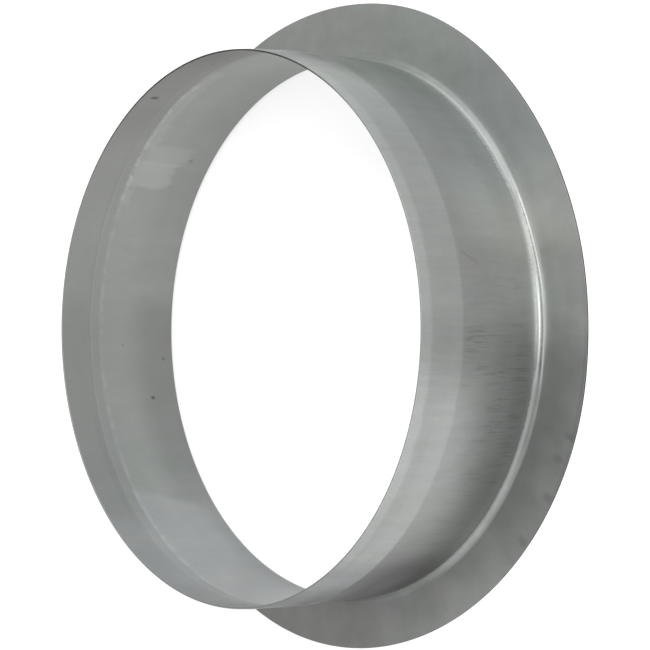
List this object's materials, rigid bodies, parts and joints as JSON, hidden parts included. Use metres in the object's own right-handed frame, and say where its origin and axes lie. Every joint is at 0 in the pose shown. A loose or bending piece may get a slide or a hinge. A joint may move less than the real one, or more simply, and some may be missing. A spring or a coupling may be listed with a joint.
{
  "type": "flanged duct collar",
  "caption": "Pressed galvanised sheet collar: a short round neck with a tapered lead-in, turned out at its foot into a wide flat flange.",
  "frame": {"origin": "centre of the round opening, in the plane of the flange's flat back", "axes": "+Z along the duct's axis, from the flange towards the free edge of the neck; the part is round, so X and Y are free"},
  "size_m": [0.3, 0.3, 0.07],
  "materials": {
    "galvanised_steel": "dull zinc-coated sheet, faintly clouded, with fine draw marks on the neck and a bright stretched line in the bend"
  },
  "bodies": {
    "root": {"flanged_collar": "galvanised_steel"}
  },
  "joints": []
}
